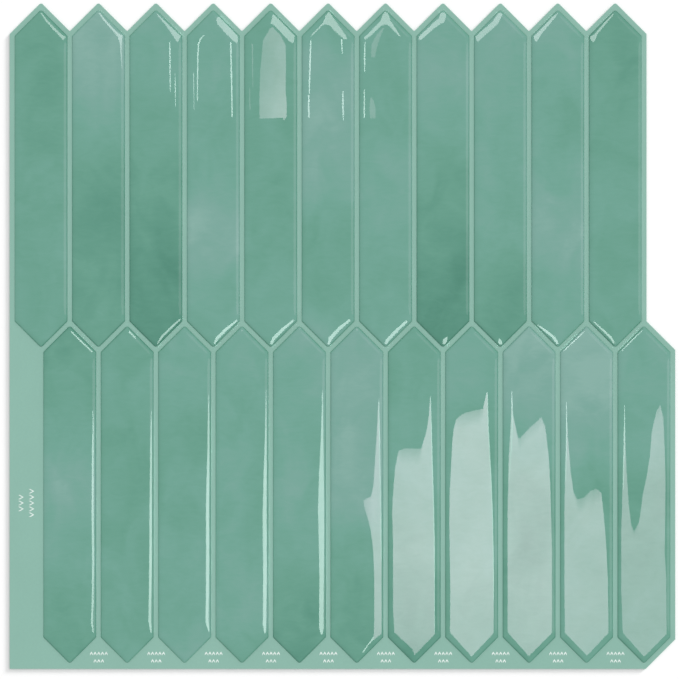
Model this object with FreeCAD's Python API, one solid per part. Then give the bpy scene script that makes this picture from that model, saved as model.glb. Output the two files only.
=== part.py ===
import FreeCAD, Part

import math
import os

# Peel and stick backsplash tile: a die-cut vinyl sheet with two rows of domed gel pickets.
# The sheet lies flat and face up: +X runs to the right along the rows, +Y up the pickets
# and +Z out of the face. Z = 0 is the underside of the release liner, and the origin is the
# centre of the overall outline. All lengths are in millimetres.

# Pickets and the joints between them
columns = 11
picket_width = 24.1
picket_length = 154.8
tip_slant = 45.0
joint_width = 2.2
picket_tip_radius = 1.1
picket_shoulder_radius = 0.5

# Domed face of a picket: a low edge, a rolled shoulder and a shallow crown
gel_edge_height = 0.25
gel_shoulder_rise = 0.75
gel_crown_rise = 0.06
gel_shoulder_width = 2.4

# Film and liner
film_thickness = 0.80
liner_thickness = 0.12
film_margin = 2.3
film_margin_bottom = 2.4
tooth_tip_radius = 1.1
notch_radius = 0.5

# Both ends of a picket are points whose edges lie at tip_slant degrees to the rows. A slanted
# edge drops by slope for each millimetre along the row, and an offset square to it moves the
# point by that offset times stretch.
slope = math.tan(math.radians(tip_slant))
stretch = 1 / math.cos(math.radians(tip_slant))
half_width = picket_width / 2
half_length = picket_length / 2
pitch = picket_width + joint_width

# The lower row is half a pitch to the right, with the same joint between the slanted edges
row_shift = pitch / 2
row_drop = picket_length - row_shift * slope + joint_width * stretch

# Outline of the film, from the middle of the upper row's first picket
reach = half_width + film_margin
tooth_tip = half_length + film_margin * stretch
upper_right = (columns - 1) * pitch + reach
left = -reach
right = upper_right + row_shift
top = tooth_tip - tooth_tip_radius * (stretch - 1)
bottom = -row_drop - half_length - film_margin_bottom
middle = FreeCAD.Vector((left + right) / 2, (bottom + top) / 2, 0)

# Levels
film_bottom = liner_thickness
film_top = film_bottom + film_thickness
up = FreeCAD.Vector(0, 0, 1)


def rounded_prism(corners, base, height):
    """Upright prism on closed corners, each given as (x, y, radius), with its upright edges rounded."""
    edges = []
    starts = []
    ends = []
    for number, (x, y, radius) in enumerate(corners):
        corner = FreeCAD.Vector(x, y, base)
        before = FreeCAD.Vector(*corners[number - 1][:2], base) - corner
        after = FreeCAD.Vector(*corners[(number + 1) % len(corners)][:2], base) - corner
        half_angle = before.getAngle(after) / 2
        set_back = radius / math.tan(half_angle)
        before.normalize()
        after.normalize()
        starts.append(corner + before * set_back)
        ends.append(corner + after * set_back)
        if radius > 0:
            inward = (before + after).normalize()
            arc_middle = corner + inward * (radius / math.sin(half_angle) - radius)
            edges.append(Part.Arc(starts[-1], arc_middle, ends[-1]).toShape())
    for number, start in enumerate(starts):
        edges.append(Part.LineSegment(ends[number - 1], start).toShape())
    outline = Part.Wire(Part.__sortEdges__(edges))
    return Part.Face(outline).extrude(up * height)


def film_corners():
    """Corners of the die-cut outline: teeth at the top, a step at the right, flaps at the left and bottom."""
    corners = [(left, tooth_tip - reach * slope, 0)]
    for column in range(columns):
        corners.append((column * pitch, tooth_tip, tooth_tip_radius))
        if column < columns - 1:
            corners.append((column * pitch + pitch / 2, tooth_tip - pitch / 2 * slope, notch_radius))
    corners.append((upper_right, tooth_tip - reach * slope, 0))

    # Step and cut corner beside the lower row's last picket
    last_picket = (columns - 1) * pitch + row_shift
    step_run = upper_right - last_picket
    corners.append((upper_right, tooth_tip - row_drop - step_run * slope, 0))
    corners.append((right, tooth_tip - row_drop - reach * slope, 0))
    corners.append((right, reach * slope - tooth_tip - row_drop, 0))
    corners.append((last_picket + (bottom + row_drop + tooth_tip) / slope, bottom, 0))
    corners.append((left, bottom, 0))
    return corners


def dome_section(half_span):
    """Upright face across a picket between two opposite edges, half_span from its middle to each."""
    shoulder = gel_edge_height + gel_shoulder_rise
    crest = shoulder + gel_crown_rise
    crown_run = half_width - gel_shoulder_width
    crown_radius = (crown_run ** 2 + gel_crown_rise ** 2) / (2 * gel_crown_rise)

    # The shoulder is an arc that runs smoothly into the crown
    crown_slope = math.asin(crown_run / crown_radius)
    chord_slope = math.atan2(gel_shoulder_rise, gel_shoulder_width)
    half_turn = chord_slope - crown_slope
    chord = math.hypot(gel_shoulder_rise, gel_shoulder_width)
    bulge = chord / 2 * math.tan(half_turn / 2)
    shoulder_mid_run = gel_shoulder_width / 2 - bulge * math.sin(chord_slope)
    shoulder_mid_height = gel_edge_height + gel_shoulder_rise / 2 + bulge * math.cos(chord_slope)

    def point(run, height, side):
        return FreeCAD.Vector(side * (half_span - run), 0, height)

    edges = [Part.LineSegment(point(0, 0, -1), point(0, 0, 1)).toShape()]
    for side in (-1, 1):
        foot = point(0, 0, side)
        rim = point(0, gel_edge_height, side)
        shoulder_middle = point(shoulder_mid_run, shoulder_mid_height, side)
        edges.append(Part.LineSegment(foot, rim).toShape())
        edges.append(Part.Arc(rim, shoulder_middle, point(gel_shoulder_width, shoulder, side)).toShape())
    left_shoulder = point(gel_shoulder_width, shoulder, -1)
    right_shoulder = point(gel_shoulder_width, shoulder, 1)
    if half_span > half_width:
        # A wide bar runs straight on up from its shoulders, through the crown of the narrow one
        peak = FreeCAD.Vector(0, 0, shoulder + (half_span - gel_shoulder_width) * math.tan(crown_slope))
        edges.append(Part.LineSegment(left_shoulder, peak).toShape())
        edges.append(Part.LineSegment(peak, right_shoulder).toShape())
    else:
        edges.append(Part.Arc(left_shoulder, FreeCAD.Vector(0, 0, crest), right_shoulder).toShape())
    return Part.Face(Part.Wire(Part.__sortEdges__(edges)))


def dome_bar(half_span, turn):
    """Long bar with the domed section, turned about the picket's middle by turn degrees."""
    section = dome_section(half_span)
    section.translate(FreeCAD.Vector(0, -picket_length, 0))
    bar = section.extrude(FreeCAD.Vector(0, 2 * picket_length, 0))
    bar.rotate(FreeCAD.Vector(0, 0, 0), up, turn)
    return bar


def picket():
    """One picket about its own middle, standing on z = 0: its faces meet in mitres along the corners."""
    shoulder_y = half_length - half_width * slope
    outline = [
        (0, half_length, picket_tip_radius),
        (half_width, shoulder_y, picket_shoulder_radius),
        (half_width, -shoulder_y, picket_shoulder_radius),
        (0, -half_length, picket_tip_radius),
        (-half_width, -shoulder_y, picket_shoulder_radius),
        (-half_width, shoulder_y, picket_shoulder_radius),
    ]
    half_span = half_length / stretch
    ends = dome_bar(half_span, 90 - tip_slant).common(dome_bar(half_span, tip_slant - 90))
    domes = ends.common(dome_bar(half_width, 0))
    crest = gel_edge_height + gel_shoulder_rise + gel_crown_rise
    return rounded_prism(outline, 0, 2 * crest).common(domes).Solids[0]


def save(shape, name):
    """Write one node, moved from the layout to the sheet's own origin."""
    placed = shape.copy()
    placed.translate(-middle)
    placed.exportStep("parts/" + name + ".step")


os.makedirs("parts", exist_ok=True)

# Film and liner share the die-cut outline
save(rounded_prism(film_corners(), film_bottom, film_thickness), "backing_sheet")
save(rounded_prism(film_corners(), 0, liner_thickness), "release_liner")

# Gel pickets, in two rows from the left
one_picket = picket()
for row, row_x, row_y in (("top", 0, 0), ("bottom", row_shift, -row_drop)):
    for column in range(columns):
        placed_picket = one_picket.copy()
        placed_picket.translate(FreeCAD.Vector(row_x + column * pitch, row_y, film_top))
        save(placed_picket, "picket_%s_%02d" % (row, column + 1))
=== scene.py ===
import math

import bmesh
import bpy
from mathutils import Matrix, Vector, noise

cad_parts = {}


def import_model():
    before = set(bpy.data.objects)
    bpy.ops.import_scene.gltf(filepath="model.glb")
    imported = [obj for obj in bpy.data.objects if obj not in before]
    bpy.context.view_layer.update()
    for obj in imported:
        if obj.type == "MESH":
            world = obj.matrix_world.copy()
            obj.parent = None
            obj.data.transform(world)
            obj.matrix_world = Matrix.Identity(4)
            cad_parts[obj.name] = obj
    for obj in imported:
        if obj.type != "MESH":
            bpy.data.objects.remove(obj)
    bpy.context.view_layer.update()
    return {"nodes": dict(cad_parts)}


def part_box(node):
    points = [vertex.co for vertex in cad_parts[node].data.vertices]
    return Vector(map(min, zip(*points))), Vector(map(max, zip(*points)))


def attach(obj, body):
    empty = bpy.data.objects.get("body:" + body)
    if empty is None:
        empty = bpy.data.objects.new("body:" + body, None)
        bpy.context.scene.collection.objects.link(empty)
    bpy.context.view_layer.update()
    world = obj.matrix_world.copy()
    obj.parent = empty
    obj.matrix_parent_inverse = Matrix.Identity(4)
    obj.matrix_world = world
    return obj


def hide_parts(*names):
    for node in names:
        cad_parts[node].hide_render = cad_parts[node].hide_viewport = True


# Peel and stick backsplash tile: a printed vinyl sheet with two rows of domed gel pickets,
# seen from straight above. Metres, in the same frame as the CAD solids.

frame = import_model()

MM = 0.001
ROOT2 = math.sqrt(2)
COLUMNS = 11
ROWS = ("top", "bottom")

# A length below the first counts as none, and points within the second are joined
TINY = 1e-7
WELD = 1e-6

# Pickets by node, each with its number through both rows and its box
PICKETS = {}
for row in ROWS:
    for column in range(1, COLUMNS + 1):
        node = "picket_%s_%02d" % (row, column)
        PICKETS[node] = (len(PICKETS) + 1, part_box(node))

FILM_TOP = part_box("backing_sheet")[1].z
first_low, first_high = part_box("picket_top_01")
TILE_TOP = first_high.z
PICKET_HALF_WIDTH = (first_high.x - first_low.x) / 2
PICKET_LENGTH = first_high.y - first_low.y
PICKET_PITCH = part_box("picket_top_02")[0].x - first_low.x

# Camera straight above the sheet with a long lens, so that the film fills the view as in the photograph
LENS_MM = 135
SENSOR_MM = 36
VIEW_WIDTH = 311.05 * MM
VIEW_CENTRE = Vector((-1.37, -1.51)) * MM
CAMERA_HEIGHT = FILM_TOP + VIEW_WIDTH * LENS_MM / SENSOR_MM
CAMERA_REACH = 20

# Places in the view are given in pixels of the photograph, right and down from its upper left corner
PICTURE_SIZE = 679
PIXEL = VIEW_WIDTH / PICTURE_SIZE

# Corners of a picket in plan
PICKET_TIP_RADIUS = 1.1 * MM
PICKET_SHOULDER_RADIUS = 0.5 * MM
SHARP_TIP = PICKET_LENGTH / 2 + PICKET_TIP_RADIUS * (ROOT2 - 1)
MITRE_RADIUS = 1.2 * MM

# Section of the gel: a low edge, a quick roll at the rim, a rolled shoulder and a nearly flat crown
GEL_EDGE_HEIGHT = 0.15 * MM
GEL_RIM_WIDTH = 0.5 * MM
GEL_RIM_RISE = 0.25 * MM
GEL_SHOULDER_WIDTH = 2.4 * MM
GEL_SHOULDER_POWER = 2.2
GEL_CROWN_RISE = 0.03 * MM

# Swell of the poured gel: its height, its size across and along, and how far apart the pickets draw it
GEL_UNEVENNESS = 0.006 * MM
SWELL_WIDTH = 16 * MM
SWELL_LENGTH = 26 * MM
SWELL_SHIFT = (7.1, 3.3)

# Printed tones from deep to pale, as the colours they show in the photograph
GLAZE_TONES = [
    (0.0, (86, 139, 121)),
    (0.2, (97, 150, 132)),
    (0.4, (107, 159, 141)),
    (0.6, (115, 165, 150)),
    (0.8, (125, 168, 157)),
    (1.0, (137, 176, 166)),
]
FILM_COLOUR = (141, 183, 169)
LINER_COLOURS = ((226, 222, 212), (240, 238, 231))
MARK_COLOURS = ((214, 231, 224), (236, 245, 241))

# The white surroundings show in the gloss and in the satin film by this much
GLOSS_VEIL = 0.04
SATIN_VEIL = 0.03


def linear(colour, veil=0.0):
    """Linear colour that shows as this 8-bit display colour under a white veil of this strength."""
    def channel(value):
        value /= 255
        value = value / 12.92 if value <= 0.04045 else ((value + 0.055) / 1.055) ** 2.4
        return max(0.0, (value - veil) / (1 - veil))
    return tuple(channel(value) for value in colour) + (1.0,)


def link(thing):
    bpy.context.scene.collection.objects.link(thing)
    return thing


# Materials

def new_material(name):
    material = bpy.data.materials.new(name)
    material.use_nodes = True
    tree = material.node_tree
    return material, tree, tree.nodes["Principled BSDF"]


def add_node(tree, kind, inputs=(), **settings):
    """Node with its settings, and its inputs given as (name or number, value or socket) pairs."""
    node = tree.nodes.new(kind)
    for key, value in settings.items():
        setattr(node, key, value)
    for key, value in inputs:
        if isinstance(value, bpy.types.NodeSocket):
            tree.links.new(value, node.inputs[key])
        else:
            node.inputs[key].default_value = value
    return node


def combined(tree, operation, first, second):
    """Output of a Math node on two values or sockets."""
    return add_node(tree, "ShaderNodeMath", [(0, first), (1, second)], operation=operation).outputs[0]


def mixed_colour(tree, factor, first, second, blend="MIX"):
    """Output of a Mix node, whose colour sockets share their names and so go by number."""
    mix = add_node(tree, "ShaderNodeMix", [(0, factor), (6, first), (7, second)],
                   data_type="RGBA", blend_type=blend)
    return mix.outputs[2]


def object_point(tree, scale):
    """Object coordinates stretched by scale along each axis."""
    coordinates = add_node(tree, "ShaderNodeTexCoord").outputs["Object"]
    return add_node(tree, "ShaderNodeMapping", [("Vector", coordinates), ("Scale", scale)]).outputs["Vector"]


def noise_shift(tree, scale, detail, distortion, reach):
    """Noise that swings from -reach to reach, on object coordinates stretched by scale."""
    pattern = add_node(tree, "ShaderNodeTexNoise", [
        ("Vector", object_point(tree, scale)), ("Scale", 1.0), ("Detail", detail), ("Roughness", 0.55),
        ("Distortion", distortion)]).outputs["Fac"]
    shift = add_node(tree, "ShaderNodeMapRange", [
        ("Value", pattern), ("From Min", 0.3), ("From Max", 0.7), ("To Min", -reach), ("To Max", reach)])
    return shift.outputs["Result"]


def two_toned(tree, shader, pattern, colours):
    """Base colour that wanders between two colours with a pattern from -0.5 to 0.5."""
    first, second = colours
    factor = combined(tree, "ADD", pattern, 0.5)
    colour = mixed_colour(tree, factor, linear(first), linear(second))
    tree.links.new(colour, shader.inputs["Base Color"])


def relief(tree, shader, height, distance):
    """Faint bumps where height is high, this deep at full strength."""
    bump = add_node(tree, "ShaderNodeBump", [("Height", height), ("Strength", 0.2), ("Distance", distance)])
    tree.links.new(bump.outputs["Normal"], shader.inputs["Normal"])


def glaze_material():
    """Clear gloss over a watery printed green. The tone attribute runs from deep (0) to pale (1), and carries
    painted shade along the slanted edges too.
    """
    material, tree, shader = new_material("gel_glaze")
    tone = add_node(tree, "ShaderNodeAttribute", attribute_name="tone").outputs["Fac"]
    clouds = noise_shift(tree, scale=(55, 40, 55), detail=2.0, distortion=0.8, reach=0.10)
    wisps = noise_shift(tree, scale=(130, 330, 130), detail=3.0, distortion=1.2, reach=0.04)
    for shift in (clouds, wisps):
        tone = combined(tree, "ADD", tone, shift)
    ramp = add_node(tree, "ShaderNodeValToRGB", [("Fac", tone)])
    stops = ramp.color_ramp.elements
    for position, colour in GLAZE_TONES[1:-1]:
        stops.new(position).color = linear(colour, GLOSS_VEIL)
    stops[0].color = linear(GLAZE_TONES[0][1], GLOSS_VEIL)
    stops[-1].color = linear(GLAZE_TONES[-1][1], GLOSS_VEIL)
    tree.links.new(ramp.outputs["Color"], shader.inputs["Base Color"])
    shader.inputs["Roughness"].default_value = 0.03
    shader.inputs["IOR"].default_value = 1.5
    return material


def film_material():
    """Satin printed vinyl in the grout colour."""
    material, tree, shader = new_material("grout_film")
    blotches = noise_shift(tree, scale=(30, 30, 30), detail=2.0, distortion=0.0, reach=0.02)
    grain = noise_shift(tree, scale=(900, 900, 900), detail=3.0, distortion=0.0, reach=0.015)
    level = combined(tree, "ADD", combined(tree, "ADD", blotches, grain), 1.0)
    colour = mixed_colour(tree, 1.0, linear(FILM_COLOUR, SATIN_VEIL), level, blend="MULTIPLY")
    tree.links.new(colour, shader.inputs["Base Color"])
    relief(tree, shader, grain, 1.0 * MM)
    shader.inputs["Roughness"].default_value = 0.5
    return material


def liner_material():
    """Off-white release paper with faint fibres."""
    material, tree, shader = new_material("liner_paper")
    fibres = noise_shift(tree, scale=(300, 900, 300), detail=5.0, distortion=1.5, reach=0.5)
    two_toned(tree, shader, fibres, LINER_COLOURS)
    relief(tree, shader, fibres, 0.1 * MM)
    shader.inputs["Roughness"].default_value = 0.55
    return material


def ink_material():
    """White screen print, a little uneven."""
    material, tree, shader = new_material("white_print")
    cover = noise_shift(tree, scale=(700, 700, 700), detail=2.0, distortion=0.0, reach=0.5)
    two_toned(tree, shader, cover, MARK_COLOURS)
    shader.inputs["Roughness"].default_value = 0.5
    return material


# Print on the pickets. Each design gives tones at even steps from the upper to the lower tip, and
# pools: soft spots at (across, along) in shares of the half width and of the length, with their
# half sizes in millimetres and what they add to the tone.
DESIGNS = {
    "deep": ((0.42, 0.42, 0.48, 0.48, 0.48, 0.50, 0.48),
             [(0.3, 0.25, 7, 22, -0.10)]),
    "light_head": ((0.96, 0.84, 0.60, 0.36, 0.32, 0.34, 0.42),
                   [(0.2, 0.62, 8, 18, -0.10)]),
    "light_top_half": ((0.96, 0.94, 0.70, 0.38, 0.44, 0.44, 0.46),
                       [(-0.4, 0.42, 6, 14, 0.08)]),
    "dark_half": ((0.68, 0.62, 0.44, 0.32, 0.26, 0.16, 0.10),
                  [(0.5, 0.74, 7, 14, -0.16), (-0.5, 0.55, 6, 18, 0.10)]),
    "dark_tail": ((0.60, 0.70, 0.62, 0.38, 0.30, 0.20, 0.06),
                  [(0.5, 0.80, 8, 12, -0.12), (-0.4, 0.30, 6, 16, 0.06)]),
    "soft": ((0.66, 0.62, 0.56, 0.62, 0.82, 0.60, 0.56),
             [(-0.5, 0.6, 6, 14, 0.12), (0.6, 0.3, 6, 14, -0.08)]),
    "calm": ((0.46, 0.48, 0.44, 0.46, 0.48, 0.50, 0.52),
             [(0.4, 0.5, 6, 16, -0.08)]),
    "pale_middle": ((0.52, 0.74, 0.78, 0.72, 0.46, 0.44, 0.72),
                    [(-0.3, 0.3, 7, 16, 0.08)]),
    "even": ((0.54, 0.52, 0.56, 0.62, 0.60, 0.54, 0.64),
             [(0.5, 0.35, 6, 12, -0.08), (-0.4, 0.62, 6, 14, 0.08)]),
    "fading": ((0.74, 0.66, 0.60, 0.60, 0.58, 0.40, 0.24),
               [(0.5, 0.84, 8, 14, -0.14), (-0.5, 0.5, 6, 16, 0.08)]),
    "pale_head": ((0.80, 0.78, 0.80, 0.78, 0.48, 0.42, 0.30),
                  [(-0.4, 0.34, 7, 18, 0.08), (0.4, 0.8, 7, 14, -0.10)]),
    "pale_knee": ((0.62, 0.58, 0.52, 0.50, 0.58, 0.66, 0.44),
                  [(-0.4, 0.45, 6, 16, 0.08), (0.5, 0.7, 6, 12, -0.06)]),
    "dark_waist": ((0.62, 0.66, 0.56, 0.30, 0.44, 0.46, 0.44), []),
    "dim_foot": ((0.40, 0.46, 0.58, 0.50, 0.38, 0.28, 0.20), []),
    "bright_head": ((0.56, 0.60, 0.44, 0.48, 0.46, 0.40, 0.36),
                    [(0.4, 0.5, 6, 16, -0.06)]),
    "bright_tail": ((0.62, 0.56, 0.42, 0.50, 0.60, 0.58, 0.74),
                    [(0.5, 0.35, 6, 12, -0.06)]),
    "pale_waist": ((0.30, 0.42, 0.56, 0.72, 0.58, 0.46, 0.38),
                   [(-0.4, 0.45, 7, 12, 0.10)]),
}

# Designs of the pickets, from the left
PRINTS = [
    # Upper row
    "deep", "light_head", "dark_half", "soft", "calm", "pale_middle",
    "even", "dark_tail", "fading", "soft", "deep",
    # Lower row
    "pale_waist", "calm", "bright_tail", "pale_knee", "fading", "pale_head",
    "dim_foot", "bright_head", "light_head", "light_top_half", "dark_waist",
]

# Painted shade: the print is darkened along the slanted edges, standing in for the shaded line at their rims
FACET_SHADE_WIDTH = 0.8 * MM
FACET_SHADE_TONE = 0.33


def design_tone(design, across, along):
    """Printed tone at a place given in shares of the half width and of the length."""
    tones, pools = DESIGNS[design]
    place = min(max(along, 0), 1) * (len(tones) - 1)
    first = min(int(place), len(tones) - 2)
    part = place - first
    part = part * part * (3 - 2 * part)
    tone = tones[first] * (1 - part) + tones[first + 1] * part
    for pool_across, pool_along, half_across, half_along, change in pools:
        x = (across - pool_across) * PICKET_HALF_WIDTH / (half_across * MM)
        y = (along - pool_along) * PICKET_LENGTH / (half_along * MM)
        tone += change * math.exp(-(x * x + y * y))
    return tone


# Gel pickets

ARC_STEPS = 6
SIDE_STEPS = 60
FACET_STEPS = 8

# Corners, numbered from the upper tip, from which a straight side runs on to the next one
SIDE_STARTS = (1, 4)

# A corner's rounding takes at most this share of the shorter edge beside it
CORNER_SHARE = 0.45

# Distances in from the edge at which a picket has a ring of points
INSETS = [value * MM for value in (
    0, 0.05, 0.12, 0.2, 0.3, 0.4, 0.5, 0.65, 0.85, 1.05, 1.3, 1.55, 1.8, 2.05, 2.25, 2.4, 2.6, 3.2, 4.4, 6.0,
    7.8, 9.8)]


def dome_height(inset, crest):
    """Height of the gel over the film at this distance in from the edge."""
    shoulder = crest - GEL_CROWN_RISE
    if inset >= GEL_SHOULDER_WIDTH:
        run = (PICKET_HALF_WIDTH - inset) / (PICKET_HALF_WIDTH - GEL_SHOULDER_WIDTH)
        return crest - GEL_CROWN_RISE * run ** 2
    rise = shoulder - GEL_EDGE_HEIGHT - GEL_RIM_RISE
    height = shoulder - rise * (1 - inset / GEL_SHOULDER_WIDTH) ** GEL_SHOULDER_POWER
    if inset < GEL_RIM_WIDTH:
        height -= GEL_RIM_RISE * (1 - inset / GEL_RIM_WIDTH) ** 2
    return height


def corner_arc(before, corner, after, radius):
    """Points round a corner between two others, with this radius or the largest that has room."""
    before = before - corner
    after = after - corner
    shorter = min(before.length, after.length)
    if shorter < TINY:
        return [corner] * (ARC_STEPS + 1)
    half_angle = before.angle(after) / 2
    radius = min(radius, CORNER_SHARE * shorter * math.tan(half_angle))
    before.normalize()
    after.normalize()
    centre = corner + (before + after).normalized() * radius / math.sin(half_angle)
    start = corner + before * radius / math.tan(half_angle) - centre
    turn = math.pi - 2 * half_angle
    points = []
    for step in range(ARC_STEPS + 1):
        cosine = math.cos(turn * step / ARC_STEPS)
        sine = math.sin(turn * step / ARC_STEPS)
        turned = Vector((start.x * cosine + start.y * sine, start.y * cosine - start.x * sine))
        points.append(centre + turned)
    return points


def ring(inset):
    """Plan of a picket's edge moved in by inset, always with the same number of points."""
    width = PICKET_HALF_WIDTH - inset
    tip = SHARP_TIP - inset * ROOT2
    shoulder = tip - width
    corners = [Vector(corner) for corner in (
        (0, tip), (width, shoulder), (width, -shoulder), (0, -tip), (-width, -shoulder), (-width, shoulder))]
    arcs = []
    for number, corner in enumerate(corners):
        radius = PICKET_TIP_RADIUS if corner.x == 0 else PICKET_SHOULDER_RADIUS
        radius = max(radius, min(MITRE_RADIUS, radius + inset))
        following = corners[(number + 1) % len(corners)]
        arcs.append(corner_arc(corners[number - 1], corner, following, radius))
    points = []
    for number, arc in enumerate(arcs):
        points.extend(arc)
        steps = SIDE_STEPS if number in SIDE_STARTS else FACET_STEPS
        following = arcs[(number + 1) % len(arcs)]
        for step in range(1, steps):
            points.append(arc[-1].lerp(following[0], step / steps))
    return points


def unevenness(x, y, seed):
    """Slight swell of the poured gel, different on each picket."""
    across = x / SWELL_WIDTH + seed * SWELL_SHIFT[0]
    return GEL_UNEVENNESS * noise.noise(Vector((across, y / SWELL_LENGTH, seed * SWELL_SHIFT[1])))


def middle(box):
    """Middle of a box in plan."""
    low, high = box
    return (low.x + high.x) / 2, (low.y + high.y) / 2


def facet_inset(box, x, y):
    """Distance in from the nearest slanted edge of the picket with this box."""
    middle_x, middle_y = middle(box)
    return (SHARP_TIP - abs(x - middle_x) - abs(y - middle_y)) / ROOT2


def gel_inset(box, x, y):
    """Distance in from the nearest edge of the picket with this box."""
    return min(PICKET_HALF_WIDTH - abs(x - middle(box)[0]), facet_inset(box, x, y))


def gel_top(box, seed, x, y):
    """Height of the gel's face at a place on the picket with this box."""
    low, high = box
    inset = max(0, gel_inset(box, x, y))
    swell = min(1, inset / GEL_SHOULDER_WIDTH)
    return low.z + dome_height(inset, high.z - low.z - GEL_UNEVENNESS) + swell * unevenness(x, y, seed)


def gel_mesh(box, seed):
    """Closed mesh of one picket: rings of points from its foot over the rim to the ridge of its crown."""
    low, high = box
    centre = (low + high) / 2
    crest = high.z - low.z - GEL_UNEVENNESS
    levels = [(0, 0)] + [(inset, dome_height(inset, crest)) for inset in INSETS + [PICKET_HALF_WIDTH]]
    mesh = bmesh.new()
    rings = []
    for inset, height in levels:
        swell = min(1, inset / GEL_SHOULDER_WIDTH)
        level = []
        for point in ring(inset):
            place = Vector((centre.x + point.x, centre.y + point.y, low.z + height))
            place.z += swell * unevenness(place.x, place.y, seed)
            level.append(mesh.verts.new(place))
        rings.append(level)
    count = len(rings[0])
    for outer, inner in zip(rings, rings[1:]):
        for number in range(count):
            following = (number + 1) % count
            mesh.faces.new((outer[following], outer[number], inner[number], inner[following]))
    mesh.faces.new(rings[0])
    bmesh.ops.remove_doubles(mesh, verts=rings[-1], dist=WELD)
    bmesh.ops.recalc_face_normals(mesh, faces=mesh.faces)
    for face in mesh.faces:
        face.smooth = True
    return mesh


def picket(node, design, seed, material):
    """One gel picket, with the tone of its print at each point, darkened along the slanted edges by painted
    shade.
    """
    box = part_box(node)
    mesh = gel_mesh(box, seed)
    data = bpy.data.meshes.new(node + "_gel")
    mesh.to_mesh(data)
    mesh.free()
    middle_x, middle_y = middle(box)
    tone = data.attributes.new("tone", "FLOAT", "POINT")
    for vertex in data.vertices:
        x, y, _ = vertex.co
        across = (x - middle_x) / PICKET_HALF_WIDTH
        along = (middle_y - y) / PICKET_LENGTH + 0.5
        # Painted shade: the print's tone is darkened near the slanted edges
        rim = max(0, 1 - facet_inset(box, x, y) / FACET_SHADE_WIDTH)
        tone.data[vertex.index].value = design_tone(design, across, along) - FACET_SHADE_TONE * rim
    data.materials.append(material)
    piece = link(bpy.data.objects.new(node + "_gel", data))
    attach(piece, "root")
    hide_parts(node)


# Studio

def studio_camera():
    data = bpy.data.cameras.new("camera")
    data.lens = LENS_MM
    data.sensor_width = SENSOR_MM
    data.clip_end = CAMERA_REACH
    camera = link(bpy.data.objects.new("camera", data))
    camera.location = (VIEW_CENTRE.x, VIEW_CENTRE.y, CAMERA_HEIGHT)
    bpy.context.scene.camera = camera


FLOOR_SIZE = 6.0
FLOOR_TONE = 0.75
WORLD_LEVEL = 0.83
KEY_LEVEL = 0.20
SHADOW_LEVEL = 0.34
LAMP_AZIMUTH = 42


def floor():
    material, _, shader = new_material("floor_white")
    shader.inputs["Base Color"].default_value = (FLOOR_TONE, FLOOR_TONE, FLOOR_TONE, 1)
    shader.inputs["Roughness"].default_value = 1.0
    shader.inputs["Specular IOR Level"].default_value = 0
    data = bpy.data.meshes.new("floor")
    half = FLOOR_SIZE / 2
    corners = [(-half, -half, 0), (half, -half, 0), (half, half, 0), (-half, half, 0)]
    data.from_pydata(corners, [], [range(4)])
    data.materials.append(material)
    ground = link(bpy.data.objects.new("floor", data))
    return ground


def world():
    """White surroundings: full white to camera and gloss, a little less as light."""
    studio = bpy.data.worlds.new("studio")
    bpy.context.scene.world = studio
    studio.use_nodes = True
    tree = studio.node_tree
    path = add_node(tree, "ShaderNodeLightPath")
    shown = path.outputs["Is Camera Ray"]
    for ray in ("Is Glossy Ray", "Is Transmission Ray"):
        shown = combined(tree, "MAXIMUM", shown, path.outputs[ray])
    strength = add_node(tree, "ShaderNodeMapRange", [
        ("Value", shown), ("To Min", WORLD_LEVEL), ("To Max", 1.0)])
    background = tree.nodes["Background"]
    background.inputs["Color"].default_value = (1, 1, 1, 1)
    tree.links.new(strength.outputs["Result"], background.inputs["Strength"])


def sun_lamp(name, azimuth, elevation, spread, level):
    """Soft sun that lights a level face to this level and doesn't show in the gloss."""
    rise = math.sin(math.radians(elevation))
    run = math.cos(math.radians(elevation))
    turn = math.radians(azimuth)
    data = bpy.data.lights.new(name, "SUN")
    data.energy = level * math.pi / rise
    data.angle = math.radians(spread)
    lamp = link(bpy.data.objects.new(name, data))
    lamp.location = (run * math.cos(turn), run * math.sin(turn), rise)
    lamp.rotation_euler = (-lamp.location).to_track_quat("-Z", "Y").to_euler()
    lamp.visible_glossy = False
    lamp.visible_camera = False
    return lamp


# Highlights. White cards hang over the tile and show only in its gloss. Each is drawn as it shows
# in the view and is then carried up to where the gel mirrors it.

# Steepest slope of the gel that still mirrors a card, and the step over which slopes are taken
STEEPEST_MIRROR = 0.45
SLOPE_STEP = 0.02 * MM

# Cards hang this high over the tile, a step apart, with sides of at most this many pixels
CARD_HEIGHT = 0.3 * MM
CARD_STEP = 0.02 * MM
CARD_SIDE = 4

# The grid on a card begins to hide it at the first of these and has hidden it at the second, where 0
# is seen square on and 1 edge on
CARD_GRID = (0.38, 0.62)

# Light of a card, and the share by which the clouds in it change its strength
CARD_COLOUR = (1.0, 0.87, 0.96, 1.0)
CARD_CLOUDS = 0.09

# A soft box is dimmer by this share at its upper edge and fades in over this many pixels
FADE_DEPTH = 0.44
FADE_LENGTH = 17


def sheet_place(place):
    """Place on the sheet that shows at a place in the view."""
    return (VIEW_CENTRE.x + (place[0] - PICTURE_SIZE / 2) * PIXEL,
            VIEW_CENTRE.y + (PICTURE_SIZE / 2 - place[1]) * PIXEL)


def view_place(x, y):
    """Place in the view of a place on the sheet."""
    return (PICTURE_SIZE / 2 + (x - VIEW_CENTRE.x) / PIXEL,
            PICTURE_SIZE / 2 - (y - VIEW_CENTRE.y) / PIXEL)


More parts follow.
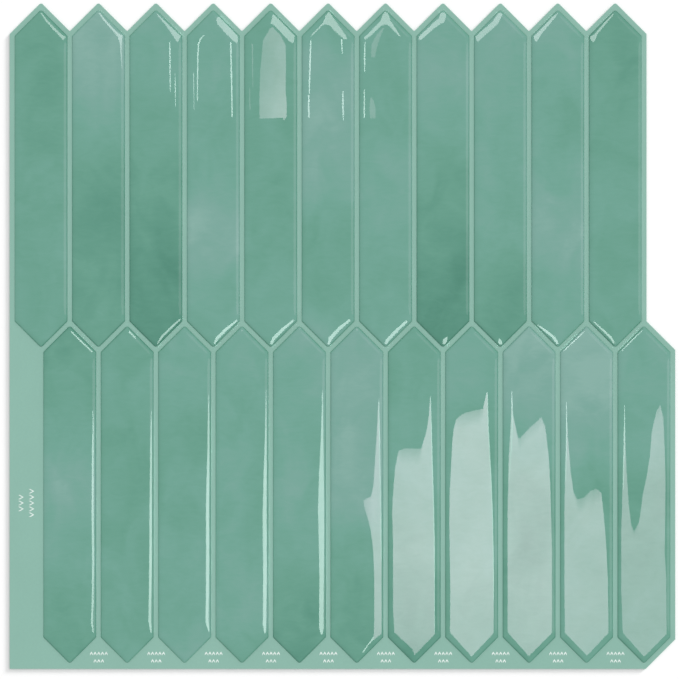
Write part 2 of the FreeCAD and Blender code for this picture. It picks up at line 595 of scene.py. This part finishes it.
def mirrored(place, level):
    """Where a card at this level shows at a place in the view."""
    x, y = sheet_place(place)
    seed, box = max(PICKETS.values(), key=lambda found: gel_inset(found[1], x, y))
    step = SLOPE_STEP
    slope_x = (gel_top(box, seed, x + step, y) - gel_top(box, seed, x - step, y)) / (2 * step)
    slope_y = (gel_top(box, seed, x, y + step) - gel_top(box, seed, x, y - step)) / (2 * step)
    slope = Vector((-slope_x, -slope_y))
    slope *= min(1, STEEPEST_MIRROR / max(slope.length, TINY))
    start = Vector((x, y, gel_top(box, seed, x, y)))
    ray = start - Vector((VIEW_CENTRE.x, VIEW_CENTRE.y, CAMERA_HEIGHT))
    ray = ray.reflect(Vector((slope.x, slope.y, 1)).normalized())
    return start + ray * (level - start.z) / ray.z


def streak(points):
    """Outline of a streak through points, each given as (x, y, width)."""
    left = []
    right = []
    for number, (x, y, width) in enumerate(points):
        before = Vector(points[max(number - 1, 0)][:2])
        after = Vector(points[min(number + 1, len(points) - 1)][:2])
        along = (after - before).normalized() * width / 2
        left.append((x + along.y, y - along.x))
        right.append((x - along.y, y + along.x))
    return left + right[::-1]


def subdivided(outline, longest):
    """The outline with points added so that no side is longer than this."""
    points = []
    for number, start in enumerate(outline):
        end = outline[(number + 1) % len(outline)]
        steps = max(1, math.ceil((Vector(end) - Vector(start)).length / longest))
        for step in range(steps):
            points.append(tuple(Vector(start).lerp(Vector(end), step / steps)))
    return points


def softened(outline):
    """Faces of a card that fades out upward, with the place and level of each of its corners."""
    rim = []
    core = []
    for number, point in enumerate(outline):
        before = (Vector(point) - Vector(outline[number - 1])).normalized()
        after = (Vector(outline[(number + 1) % len(outline)]) - Vector(point)).normalized()
        upward = max(0, (before.x + after.x) / 2)
        rim.append((point, 1 - FADE_DEPTH * upward))
        core.append(((point[0], point[1] + FADE_LENGTH * upward), 1))
    count = len(outline)
    faces = [range(count, 2 * count)]
    for number in range(count):
        following = (number + 1) % count
        faces.append((number, following, count + following, count + number))
    return rim + core, faces


def card_material(name, strength, colour, clouds, grades):
    """Light of a card, with faint clouds in it.

    Each grade is (axis, start, end, level at start, level at end) in places of the view. A grid on
    the card's face lets it show from above and hides it from low round the sides."""
    material = bpy.data.materials.new(name)
    material.use_nodes = True
    material.cycles.emission_sampling = "NONE"
    tree = material.node_tree
    tree.nodes.clear()
    drift = noise_shift(tree, scale=(40, 25, 40), detail=3.0, distortion=0.6, reach=clouds * strength)
    level = combined(tree, "ADD", drift, strength)
    share = add_node(tree, "ShaderNodeAttribute", attribute_name="level").outputs["Fac"]
    level = combined(tree, "MULTIPLY", level, share)
    place = add_node(tree, "ShaderNodeSeparateXYZ", [("Vector", object_point(tree, (1, 1, 1)))])
    for axis, start, end, start_level, end_level in grades:
        grade = add_node(tree, "ShaderNodeMapRange", [
            ("Value", place.outputs[axis]), ("From Min", sheet_place((start, start))[axis]),
            ("From Max", sheet_place((end, end))[axis]), ("To Min", start_level), ("To Max", end_level)])
        level = combined(tree, "MULTIPLY", level, grade.outputs["Result"])
    facing = add_node(tree, "ShaderNodeLayerWeight", [("Blend", 0.5)]).outputs["Facing"]
    closed = add_node(tree, "ShaderNodeMapRange", [
        ("Value", facing), ("From Min", CARD_GRID[0]), ("From Max", CARD_GRID[1])]).outputs["Result"]
    glow = add_node(tree, "ShaderNodeEmission", [("Color", colour), ("Strength", level)]).outputs[0]
    clear = add_node(tree, "ShaderNodeBsdfTransparent").outputs[0]
    surface = add_node(tree, "ShaderNodeMixShader", [(0, closed), (1, glow), (2, clear)]).outputs[0]
    add_node(tree, "ShaderNodeOutputMaterial", [("Surface", surface)])
    return material


def card(name, strength, outlines, step=0, colour=CARD_COLOUR, clouds=CARD_CLOUDS, grades=(), soft=False):
    """Cards of one light for these outlines in the view, so many steps up, that only the gloss sees."""
    corners = []
    levels = []
    faces = []
    for outline in outlines:
        outline = subdivided(outline, CARD_SIDE)
        if soft:
            places, shapes = softened(outline)
        else:
            places = [(place, 1) for place in outline]
            shapes = [range(len(outline))]
        faces.extend([len(corners) + number for number in shape] for shape in shapes)
        corners.extend(mirrored(place, TILE_TOP + CARD_HEIGHT + step * CARD_STEP) for place, _ in places)
        levels.extend(share for _, share in places)
    data = bpy.data.meshes.new(name)
    data.from_pydata(corners, [], faces)
    data.attributes.new("level", "FLOAT", "POINT").data.foreach_set("value", levels)
    data.materials.append(card_material(name, strength, colour, clouds, grades))
    piece = link(bpy.data.objects.new(name, data))
    piece.visible_camera = False
    piece.visible_diffuse = False
    piece.visible_shadow = False
    piece.visible_transmission = False


# Soft boxes over the lower right, by lower row picket: strength and outline, clockwise
SOFT_BOXES = {
    6: (7.2, [(378.8, 398.5), (379.6, 432), (380.2, 455), (380.8, 495), (381.4, 552), (381.5, 633),
              (373.5, 640), (374.2, 622), (374.2, 578), (373.3, 552), (372.1, 540.7), (370.4, 529.3),
              (367.6, 517.8), (364.1, 506.3), (363.5, 500), (370.4, 497), (372.2, 491.5), (373.5, 483),
              (374.7, 466), (375.8, 449), (377.3, 426), (378, 408)]),
    7: (7.4, [(430, 397), (431.5, 418), (431.9, 456), (433.4, 504), (434.7, 542), (434.7, 634),
              (414.3, 655), (412.4, 649), (394.3, 632), (393, 609), (393, 542), (392, 513), (393.4, 487),
              (395.3, 466), (398.7, 450.6), (404.8, 448.3), (421, 448.7), (422.9, 443), (426.7, 429.6),
              (429, 414)]),
    8: (7.9, [(486.8, 391.4), (488.3, 428), (490.6, 466), (492.5, 513), (493.9, 571), (493.5, 633),
              (471.5, 656.3), (449.8, 632), (450.2, 590), (449.2, 523), (449.6, 494), (452.1, 443),
              (453.4, 429.6), (456.3, 419), (460.1, 415.3), (465.8, 412.4), (475.4, 410.1), (483, 408.6),
              (484.9, 399)]),
    9: (7.5, [(511.6, 391.4), (512.9, 414.3), (516.4, 431.5), (518, 437.5), (520, 438), (529.5, 427.7),
              (541, 417.2), (544.8, 425.8), (548.6, 456.3), (550.5, 494.4), (551.8, 551.6), (551.8, 632.6),
              (528.6, 656), (507.4, 632), (507.4, 513.5), (508.7, 456.3), (511.2, 414.3)]),
    10: (6.8, [(566.3, 404), (567.7, 437.2), (570.5, 471.5), (573.4, 492.5), (577.2, 499.2), (583.9, 497.3),
               (590.5, 490.6), (596.3, 488.7), (601, 492.5), (603.5, 513.5), (605.8, 542.1), (607.7, 580.2),
               (608.3, 632.6), (586.7, 655.5), (564.8, 632.6), (564.2, 589.7), (564.2, 513.5), (565, 465.8),
               (565.8, 437.2)]),
    11: (5.1, [(624.3, 406), (625.2, 446.7), (626.8, 479.1), (628.7, 505.8), (631, 524.9), (633.8, 531.6),
               (638.2, 523), (640.5, 511.6), (642.4, 494.4), (645.8, 479.1), (649.6, 456.3), (651.6, 431.5),
               (656.3, 410.5), (660.1, 404.8), (663, 418.1), (664.3, 446.7), (665.2, 480), (664.9, 513.5),
               (664.5, 551.6), (665.9, 580.2), (666.4, 633.6), (643.9, 656.5), (622.6, 632.6), (621, 589.7),
               (621, 532.5), (622.6, 475.3), (623.5, 437.2)]),
}

# The narrow box has no fade but a dim bump beside it, and the last one is bright at its head instead
# of dim at its foot
NARROW_BOX = 6
LAST_BOX = 11
FOOT_GRADE = (1, 590, 655, 1.0, 0.84)
BUMP_GRADE = (0, 363, 373, 0.55, 1.0)
HEAD_GRADE = (1, 490, 570, 1.15, 1.0)

# Lit edges of the soft boxes: (x, y, width) along each
BOX_EDGES = [
    [(378.8, 399, 0.6), (379.4, 432, 1.0), (380, 470, 1.0), (380.8, 520, 0.9), (381.2, 560, 0.8)],
    [(430.4, 396, 0.5), (431.2, 425, 1.0), (432.2, 465, 1.0), (433.6, 510, 1.0), (434.3, 560, 0.9),
     (434.4, 632, 0.6)],
    [(487.2, 392, 0.5), (488.2, 430, 0.9), (490.4, 470, 0.9), (492.3, 515, 0.9), (493.2, 560, 0.9),
     (493.4, 600, 0.6)],
    [(511.6, 391, 0.6), (511.9, 405, 1.2), (512.2, 425, 1.0), (511, 450, 0.7), (509, 480, 0.5)],
    [(566.3, 402, 0.5), (566.4, 425, 1.1), (566.2, 450, 0.9), (565.4, 480, 0.6)],
    [(624.3, 405, 0.5), (624.3, 430, 1.1), (623.9, 455, 0.9), (622.8, 490, 0.6)],
]

# Window over the fifth picket of the upper row, brighter to the right and at its foot
WINDOW_STRENGTH = 4.5
WINDOW_CLOUDS = 0.15
WINDOW_GRADES = [(0, 262, 284, 0.83, 1.15), (1, 72, 112, 0.93, 1.2)]
WINDOW = [
    (272.6, 27.5), (280.6, 35.5), (285.7, 45.5), (286, 67), (285.7, 93.7), (286.9, 104.5), (286.6, 116.5),
    (284, 120.5), (282.4, 117.9), (271.2, 118.5), (259.6, 118.9), (259.5, 93.7), (260.3, 72.3), (261.9, 53.6),
    (262.9, 41.5), (267.2, 33.5), (269.9, 28.8),
]

# Glints on the upper tips of the upper row, from the left
TIP_STRENGTH = 6.8
TIP_COLOUR = (0.98, 0.99, 1.0, 1.0)
TIP_GLINTS = [
    [(40.9, 13), (42, 13.2), (47, 20), (55, 28.4), (62, 34.8), (66.1, 37.2), (63.2, 40.4), (61, 37.6),
     (53.2, 29.6), (45.6, 21)],
    [(98.5, 12.8), (99.4, 12.6), (105.6, 20), (112.6, 27.6), (118.6, 33.6), (122.6, 35.6), (122.6, 39),
     (121.8, 46), (121.9, 57), (122.4, 68), (121.9, 68), (120.6, 52), (119.9, 44), (118.4, 37.4),
     (114.6, 33), (104.6, 21.6)],
    [(156.2, 13), (160.2, 16.6), (171.4, 27.4), (181.2, 36.3), (179.6, 39.2), (177.8, 42.4), (176, 40.6),
     (173.6, 36.8), (166, 25.6), (158.6, 16.6)],
    [(219, 17), (221.5, 18.6), (229.5, 27.6), (237.8, 36.2), (238, 40.4), (236.6, 43.6), (232.6, 40.4),
     (225, 32.6), (217.8, 24.9), (216.4, 20.4), (217.6, 17.3)],
    [(272.8, 14.4), (276, 16.6), (285, 26), (294.4, 35.6), (294.4, 40), (293.2, 43.6), (290, 42.2),
     (283, 35), (277, 28.4), (272.6, 24.2), (270.9, 23.8), (271.6, 20)],
    [(328.2, 11.8), (330.2, 12.9), (331.5, 15.4), (335.4, 21), (339.5, 26.8), (346.2, 36.2), (346.9, 39.8),
     (344.2, 39.5), (338.8, 34.8), (333.5, 30.1), (330.2, 26.1), (326.2, 24.4), (322.1, 26.1),
     (312.1, 35.9), (310.4, 36.8), (312, 34.4), (318.6, 27.6), (323.5, 22.1), (325.5, 16.7)],
    [(385.5, 11.8), (387.1, 12.7), (389.1, 16.1), (390.4, 21.4), (394.5, 26.8), (400.5, 36.4),
     (399.8, 37.2), (389.8, 26.8), (387.1, 24.8), (381.7, 25.4), (375.7, 31.5), (369, 37.5), (365, 39.9),
     (363.7, 38.2), (370, 31.8), (377, 24.8), (380.4, 21.4), (382.4, 15.4)],
    [(440.6, 13), (444, 12.8), (446.2, 15), (445, 20), (443.6, 23.2), (440.6, 24), (433, 29.4), (425, 36.8),
     (420.6, 40.2), (418.4, 39.4), (419, 36.6), (425, 31.2), (433, 23.2), (439, 18.6)],
    [(498, 13.4), (501, 13.2), (502.4, 15.2), (500, 20), (497, 25), (486.2, 34.4), (480, 40), (477.6, 42.2),
     (475.8, 39.6), (475.4, 36.6), (483.8, 29.2), (492.4, 22)],
    [(558, 13), (555.6, 17), (547.4, 27), (541.2, 34.6), (537, 41.6), (535.6, 42), (533.8, 39),
     (533.8, 36.4), (542.8, 27.4), (552, 17.2)],
    [(614.8, 12), (612.4, 16.2), (602.6, 27.8), (597, 34.6), (594.8, 41), (593, 42.8), (590.2, 39.4),
     (590.2, 36.8), (594.6, 34), (604, 23)],
]

# Streaks: (x, y, width) along each
BRIGHT_STREAKS = [
    # Lower tips of the upper row
    [(180.4, 319.1, 1.2), (171.2, 327.6, 2.0), (162, 336.7, 2.0), (157.1, 344.1, 1.0)],
    [(237.4, 320.2, 1.6), (226.3, 329.1, 2.8), (217.1, 338.3, 3.0), (214.1, 344.1, 1.4)],
    [(293.7, 320.2, 1.8), (283, 329.1, 3.0), (273.8, 338.3, 3.6), (271.2, 344.2, 1.8)],
    [(350, 319.9, 2.2), (339.6, 328.3, 3.2), (330.4, 338.3, 3.8), (328.6, 344.4, 2.0)],
    [(407, 321, 2.2), (396.6, 330.6, 3.2), (387.5, 340.1, 3.2), (385.7, 344.2, 2.0)],
    [(446.8, 337, 1.4), (444.9, 340.6, 4.4), (443.8, 344.2, 2.2)],
    [(499.2, 338.6, 0.9), (500, 342, 3.4), (500.7, 344.6, 1.8)],
    [(537.5, 324.8, 0.8), (545.1, 330.6, 2.2), (552.8, 336.7, 2.8), (556.4, 341.6, 2.6),
     (557.3, 344.2, 1.5)],
    [(593.4, 321.5, 0.8), (602.2, 329.6, 1.8), (610, 337, 2.2), (614.4, 343.6, 1.2)],
    # Right side of the lower row
    [(93, 411, 0.5), (93.3, 425, 1.2), (93, 453, 1.8), (92.8, 507, 2.0), (93.3, 560, 2.0), (92.8, 605, 1.8),
     (92.1, 622, 1.8), (93.4, 632.4, 0.9)],
    [(151.5, 411, 0.5), (151.3, 430, 1.2), (151.2, 453, 1.8), (150.8, 507, 2.4), (150.7, 560, 2.4),
     (149.9, 621, 2.6), (151.3, 632.4, 1.0)],
    [(208.7, 395, 0.5), (208.7, 420, 1.4), (208.5, 453, 2.2), (207.6, 507, 3.0), (207.8, 560, 3.2),
     (207.2, 621, 3.0), (209, 631, 1.2)],
    [(266.1, 390, 0.5), (265.9, 435, 1.6), (265.2, 471, 3.0), (264.7, 516, 4.0), (265.1, 578, 3.6),
     (264.5, 624, 3.4), (265.1, 633, 1.6)],
    [(322.5, 390, 0.5), (322.2, 435, 2.4), (321.5, 471, 4.6), (321.1, 510, 6.2), (321.5, 542, 5.4),
     (321.7, 578, 4.6), (321.3, 628, 4.4), (321.7, 634, 2.0)],
    [(374, 637, 1.6), (368, 644.5, 1.4), (362.6, 652.5, 0.9)],
]
THIN_STREAKS = [
    # Straight down the upper row
    [(169.9, 42, 0.8), (170, 50, 1.2), (170.2, 70, 1.1), (170.4, 92, 0.6)],
    [(175.1, 73.5, 0.4), (175.5, 90, 0.8), (175.6, 107, 0.4)],
    [(193.7, 72.7, 0.3), (193.9, 90, 0.5), (194.1, 110, 0.3)],
    [(204.3, 35.2, 0.5), (200.5, 39.5, 1.2), (198.5, 44.4, 1.4), (197.8, 61, 1.3), (197.5, 101, 0.9)],
    [(230.8, 42, 1.3), (231.6, 76.5, 1.5), (232.2, 117, 1.2)],
    [(310.9, 40.2, 1.0), (310.4, 53.6, 1.6), (309.5, 80.4, 1.4), (309.4, 94, 0.9)],
    [(308.7, 95.5, 1.4), (308.8, 108, 1.5), (309, 118, 1.0)],
    [(341.6, 39.5, 1.4), (342.2, 54, 0.8)],
    [(342.9, 91, 0.8), (343, 104.5, 1.7), (343.3, 120.5, 0.8)],
    [(365, 42.2, 1.0), (364.6, 58.9, 1.5), (364.7, 72.3, 0.8)],
    [(364.3, 90, 0.8), (364.2, 118, 1.3)],
    # Upper tips of the lower row
    [(71, 331, 0.7), (80, 340, 1.35), (92.5, 352, 0.9)],
    [(129.1, 331.4, 1.5), (136, 338.3, 0.9)],
    [(584, 331.6, 0.6), (573, 342, 1.0), (563.5, 351, 0.7)],
    [(642, 330.6, 0.6), (631, 341, 1.0), (621.5, 351, 0.7)],
]
FAINT_STREAKS = [
    # Lines and patches on the fifth and seventh pickets of the upper row
    [(252.5, 44.2, 1.0), (252.9, 87, 0.8)],
    [(249.6, 88.4, 0.8), (250, 109.8, 1.0)],
    [(383.4, 28.2, 1.2), (377.7, 37.5, 4.5), (374.2, 46, 6.0), (373, 57.6, 3.6)],
    [(371.4, 98, 2.0), (372.4, 107, 6.0), (372.8, 118.5, 5.4)],
    # Specks over the lower tips of the upper row
    [(241.8, 330, 1.6), (242.6, 331.2, 1.6)],
    [(299.4, 328.3, 1.6), (300.4, 328.6, 1.4)],
    [(356.2, 329, 1.6), (357.6, 329.8, 1.4)],
]

# Dim glow along the right shoulders and the upper right facets: (x, y, width) from a picket's middle
SIDE_GLOW = [(24.3, -136, 1.4), (24.3, -128, 2.8), (24.3, 128, 2.8), (24.3, 136, 1.4)]
FACET_GLOW = [(1.8, -162.2, 0.9), (5.25, -158.75, 1.8), (19.25, -144.75, 1.8), (22.7, -141.2, 0.9)]


def on_each_picket(line):
    """The streak given from a picket's middle, on every picket."""
    streaks = []
    for _, box in PICKETS.values():
        x, y = view_place(*middle(box))
        streaks.append([(x + across, y + down, width) for across, down, width in line])
    return streaks


# Cards of streaks: name, steps up from the soft boxes, strength, colour and streaks
GLINT_COLOUR = (0.89, 1.0, 0.97, 1.0)
STREAK_CARDS = [
    ("box_edges", -1, 9.6, GLINT_COLOUR, BOX_EDGES),
    ("bright_streaks", 1, 9.5, GLINT_COLOUR, BRIGHT_STREAKS),
    ("thin_streaks", 2, 10.3, GLINT_COLOUR, THIN_STREAKS),
    ("faint_streaks", 3, 3.0, CARD_COLOUR, FAINT_STREAKS),
    ("side_glow", 4, 2.1, CARD_COLOUR, on_each_picket(SIDE_GLOW)),
    ("facet_glow", 5, 1.7, CARD_COLOUR, on_each_picket(FACET_GLOW)),
]

# Overlap marks: rows of chevrons in white print on the flaps

MARK_STROKE = 0.40 * MM
MARK_THICKNESS = 0.02 * MM

# Height and spacing of the chevrons in shares of their width
MARK_RISE = 1.1
MARK_SPACING = 1.35

# Rows of marks in places of the view: (down, count) on the bottom flap, (across, count) on the left one
FLAP_MARK_SIZE = 1.25 * MM
FLAP_MARK_X = 98.8
FLAP_MARK_ROWS = [(653.5, 5), (661, 3)]
SIDE_MARK_SIZE = 2.0 * MM
SIDE_MARK_Y = 503
SIDE_MARK_ROWS = [(31.5, 5), (21, 3)]


def chevron(mesh, centre, size, turn):
    """Chevron of one stroke as a thin prism, its point up before it is turned."""
    spin = Matrix.Rotation(math.radians(turn), 2)
    run = size / 2
    rise = (size * MARK_RISE + MARK_STROKE) / 2
    drop = 2 * MARK_STROKE
    outline = [
        (-run, drop - rise), (0, rise), (run, drop - rise),
        (run, -rise), (0, rise - drop), (-run, -rise),
    ]
    levels = []
    for z in (FILM_TOP, FILM_TOP + MARK_THICKNESS):
        places = [Vector(centre) + spin @ Vector(point) for point in outline]
        levels.append([mesh.verts.new((place.x, place.y, z)) for place in places])
    low, high = levels
    for number in range(len(outline)):
        following = (number + 1) % len(outline)
        mesh.faces.new((low[number], low[following], high[following], high[number]))
    for level in levels:
        mesh.faces.new(level[:2] + level[4:])
        mesh.faces.new(level[1:5])


def mark_row(mesh, place, count, size, turn):
    """Row of chevrons about a place in the view."""
    x, y = sheet_place(place)
    step = Matrix.Rotation(math.radians(turn), 2) @ Vector((MARK_SPACING * size, 0))
    for number in range(count):
        chevron(mesh, Vector((x, y)) + step * (number - (count - 1) / 2), size, turn)


def overlap_marks(material):
    """Marks between the lower tips of the lower row, and a turned pair of rows on the left flap."""
    mesh = bmesh.new()
    for number in range(COLUMNS - 1):
        x = FLAP_MARK_X + number * PICKET_PITCH / PIXEL
        for y, count in FLAP_MARK_ROWS:
            mark_row(mesh, (x, y), count, FLAP_MARK_SIZE, 0)
    for x, count in SIDE_MARK_ROWS:
        mark_row(mesh, (x, SIDE_MARK_Y), count, SIDE_MARK_SIZE, -90)
    bmesh.ops.recalc_face_normals(mesh, faces=mesh.faces)
    data = bpy.data.meshes.new("overlap_marks")
    mesh.to_mesh(data)
    mesh.free()
    data.materials.append(material)
    piece = link(bpy.data.objects.new("overlap_marks", data))
    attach(piece, "root")


glaze = glaze_material()
for node, design in zip(PICKETS, PRINTS):
    picket(node, design, PICKETS[node][0], glaze)
overlap_marks(ink_material())

for node, material in (("backing_sheet", film_material()), ("release_liner", liner_material())):
    solid = frame["nodes"][node]
    solid.data.materials.clear()
    solid.data.materials.append(material)

for column, (strength, outline) in SOFT_BOXES.items():
    grades = [HEAD_GRADE if column == LAST_BOX else FOOT_GRADE]
    if column == NARROW_BOX:
        grades.append(BUMP_GRADE)
    card("soft_box_%02d" % column, strength, [outline], grades=grades, soft=column != NARROW_BOX)
card("window", WINDOW_STRENGTH, [WINDOW], clouds=WINDOW_CLOUDS, grades=WINDOW_GRADES)
card("tip_glints", TIP_STRENGTH, TIP_GLINTS, colour=TIP_COLOUR)
for name, step, strength, colour, streaks in STREAK_CARDS:
    card(name, strength, [streak(points) for points in streaks], step=step, colour=colour)

studio_camera()
ground = floor()
world()
sun_lamp("key", azimuth=LAMP_AZIMUTH, elevation=50, spread=25, level=KEY_LEVEL)
low_lamp = sun_lamp("floor_lamp", azimuth=LAMP_AZIMUTH, elevation=15, spread=18, level=SHADOW_LEVEL)
floor_only = bpy.data.collections.new("floor_only")
floor_only.objects.link(ground)
low_lamp.light_linking.receiver_collection = floor_only
bpy.context.scene.view_settings.view_transform = "Standard"
